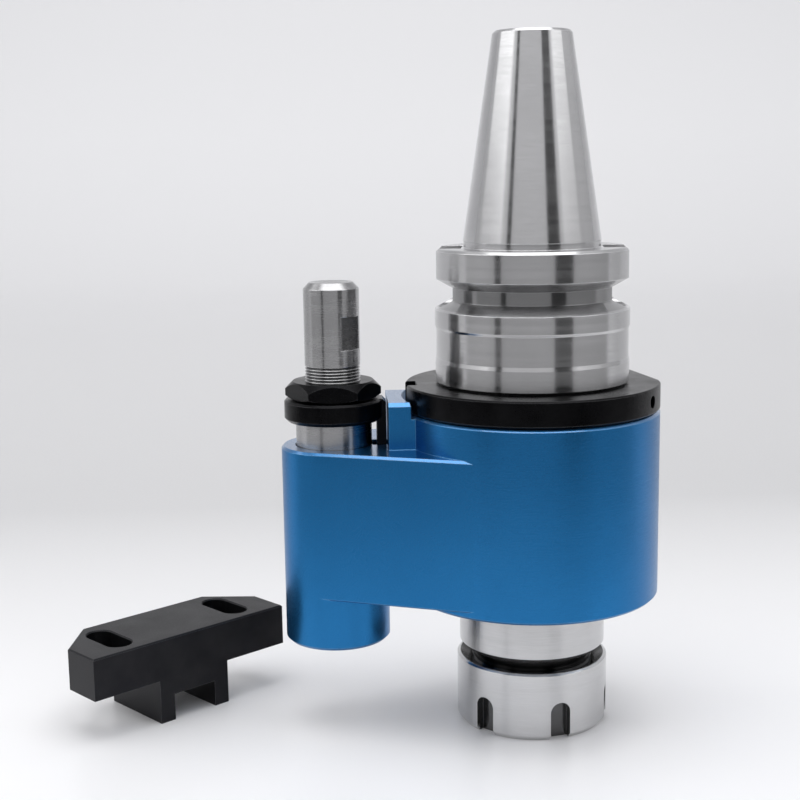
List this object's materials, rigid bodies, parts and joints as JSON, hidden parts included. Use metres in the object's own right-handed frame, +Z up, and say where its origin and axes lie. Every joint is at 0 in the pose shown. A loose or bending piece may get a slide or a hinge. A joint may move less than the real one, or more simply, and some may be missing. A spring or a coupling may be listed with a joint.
{
  "type": "rotary coolant tool holder",
  "caption": "Straight taper-shank collet holder whose spindle turns in a blue housing with a side arm and a sprung stop pin, beside its separate black stop block.",
  "frame": {"origin": "centre of the nose face, where the collet's front face and the nut's face lie in one plane", "axes": "+Z up the spindle axis towards the taper's small end, -X towards the stop pin on the side arm"},
  "size_m": [0.1957, 0.089, 0.2254],
  "materials": {
    "bright_steel": "ground",
    "turned_steel": "turned",
    "black_steel": "black oxide",
    "blue_anodised": "satin anodised",
    "bearing_steel": "polished",
    "cage_brass": "turned",
    "bush_bronze": "turned",
    "seal_rubber": "matt",
    "spring_steel": "drawn"
  },
  "bodies": {
    "spindle": {"taper_shank": "bright_steel", "index_ring": "black_steel", "ring_set_screws": "black_steel", "upper_bearing_inner_ring": "bearing_steel", "lower_bearing_inner_ring": "bearing_steel", "seal_sleeve": "turned_steel", "bearing_lock_nut": "turned_steel", "backup_screw": "black_steel"},
    "collet_set": {"collet": "bearing_steel", "pressure_ring": "bearing_steel"},
    "nut": {"collet_nut": "bright_steel"},
    "housing": {"housing": "blue_anodised", "upper_bearing_outer_ring": "bearing_steel", "lower_bearing_outer_ring": "bearing_steel", "top_dirt_seal": "seal_rubber", "seal_carrier": "turned_steel", "carrier_o_rings": "seal_rubber", "upper_shaft_seal": "seal_rubber", "lower_shaft_seal": "seal_rubber", "bottom_cap": "turned_steel", "bottom_dirt_seal": "seal_rubber", "guide_bush": "bush_bronze", "boss_plug": "turned_steel", "boss_plug_o_ring": "seal_rubber", "pin_spring": "spring_steel"},
    "upper_cage": {"upper_bearing_cage": "cage_brass", "upper_bearing_balls": "bearing_steel"},
    "lower_cage": {"lower_bearing_cage": "cage_brass", "lower_bearing_balls": "bearing_steel"},
    "pin": {"stop_pin": "bright_steel", "pin_seal": "seal_rubber", "pin_lock_nut": "black_steel", "key_collar": "black_steel", "pin_retaining_ring": "black_steel"},
    "stop_block": {"stop_block": "black_steel"}
  },
  "joints": [
    {"name": "housing_turn", "type": "hinge", "parent": "spindle", "child": "housing", "pos_m": [0, 0, 0.0775], "axis": [0, 0, 1], "continuous": true},
    {"name": "upper_cage_turn", "type": "hinge", "parent": "spindle", "child": "upper_cage", "pos_m": [0, 0, 0.095], "axis": [0, 0, 1], "continuous": true},
    {"name": "lower_cage_turn", "type": "hinge", "parent": "spindle", "child": "lower_cage", "pos_m": [0, 0, 0.059], "axis": [0, 0, 1], "continuous": true},
    {"name": "pin_press", "type": "slide", "parent": "housing", "child": "pin", "axis": [0, 0, -1], "range_m": [0, 0.0075], "stiffness_N_per_m": 1500, "springref_m": -0.015, "deforming": ["pin_spring"]},
    {"name": "collet_draw", "type": "slide", "parent": "spindle", "child": "collet_set", "axis": [0, 0, -1], "range_m": [0, 0.0051]},
    {"name": "nut_turn", "type": "hinge", "parent": "collet_set", "child": "nut", "pos_m": [0, 0, 0.011], "axis": [0, 0, -1], "range_deg": [0, 1200]},
    {"name": "stop_block_lift", "type": "slide", "parent": "spindle", "child": "stop_block", "axis": [0, 0, 1], "range_m": [0, 0.05]}
  ],
  "couplings": [
    {"joint": "upper_cage_turn", "follows": "housing_turn", "ratio": 0.54918},
    {"joint": "lower_cage_turn", "follows": "housing_turn", "ratio": 0.54918},
    {"joint": "collet_draw", "follows": "nut_turn", "m_per_rad": 0.00023873}
  ]
}
